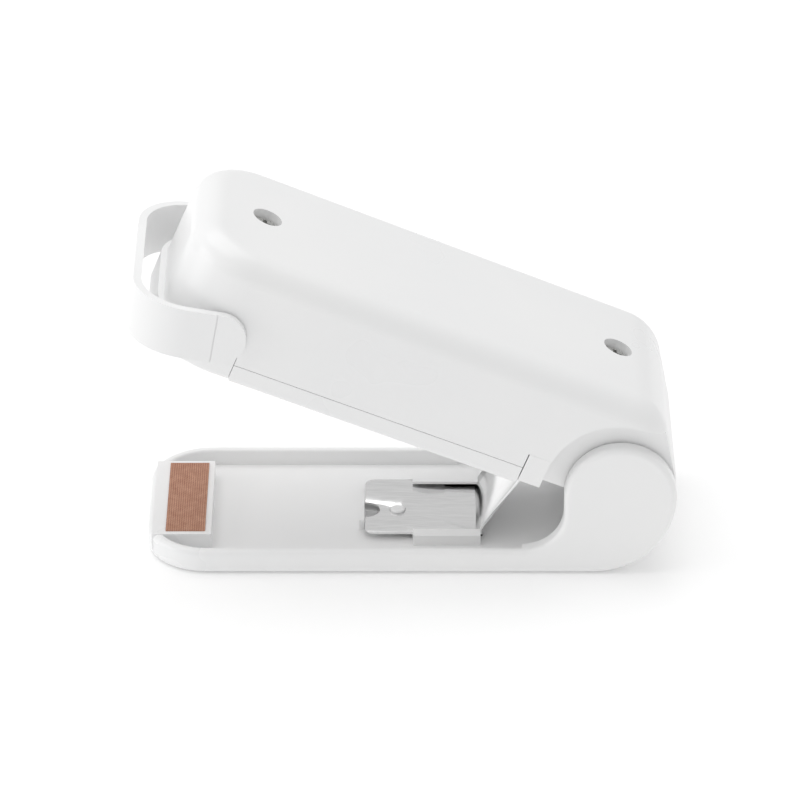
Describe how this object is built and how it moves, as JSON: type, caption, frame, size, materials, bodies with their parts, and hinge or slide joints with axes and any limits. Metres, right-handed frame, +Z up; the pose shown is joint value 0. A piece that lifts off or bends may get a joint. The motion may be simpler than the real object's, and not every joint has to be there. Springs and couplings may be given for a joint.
{
  "type": "handheld bag heat sealer",
  "caption": "Clamp-shaped battery bag sealer: a sprung upper jaw with a heated strip closes on a silicone pad in a flat tray; a loop locks it shut.",
  "frame": {"origin": "middle of the flat underside of the base", "axes": "+X along the base from the sealing end to the hinge, +Y across it, +Z up out of the surface it stands on"},
  "size_m": [0.0936, 0.0406, 0.0621],
  "materials": {
    "white_plastic": "smooth glossy moulding",
    "silicone": "matt silicone",
    "tape": "woven glass cloth with a slight sheen",
    "spring_steel": "bright rolled strip",
    "screw_steel": "plain steel",
    "cell_wrap": "plain printed wrap",
    "contact_brass": "stamped",
    "wire": "insulated wire",
    "phenolic": "heat-proof moulding",
    "mica": "sheet"
  },
  "bodies": {
    "base": {"base_shell": "white_plastic", "silicone_pad": "silicone", "pad_tape": "tape", "leaf_spring": "spring_steel"},
    "upper_jaw": {"top_shell": "white_plastic", "chassis": "white_plastic", "shell_screws": "screw_steel", "aa_cell_left": "cell_wrap", "aa_cell_right": "cell_wrap", "positive_contact": "contact_brass", "negative_contact": "contact_brass", "bridge_contact": "contact_brass", "switch_blade": "spring_steel", "blade_lead": "wire", "heater_lead": "wire"},
    "heater_head": {"heater_carrier": "phenolic", "mica_sheet": "mica", "heater_strip": "spring_steel", "heater_cover": "tape", "terminal_lugs": "contact_brass"},
    "battery_cover": {"battery_door": "white_plastic"},
    "loop": {"lock_loop": "white_plastic"}
  },
  "joints": [
    {"name": "jaw_hinge", "type": "hinge", "parent": "base", "child": "upper_jaw", "pos_m": [0.0358, 0, 0.0157], "axis": [0, 1, 0], "range_deg": [-26.6, 0], "stiffness_Nm_per_rad": 0.25, "springref_deg": 17.19, "deforming": ["leaf_spring"]},
    {"name": "head_slide", "type": "slide", "parent": "upper_jaw", "child": "heater_head", "axis": [0.4478, 0, 0.8942], "range_m": [0, 0.0011], "stiffness_N_per_m": 1200, "springref_m": -0.0004, "deforming": ["switch_blade", "blade_lead", "heater_lead"]},
    {"name": "loop_pivot", "type": "hinge", "parent": "upper_jaw", "child": "loop", "pos_m": [-0.03204, 0, 0.04613], "axis": [0, 1, 0], "range_deg": [-38, 20]},
    {"name": "door_slide", "type": "slide", "parent": "upper_jaw", "child": "battery_cover", "axis": [0, 1, 0], "range_m": [0, 0.04]}
  ]
}
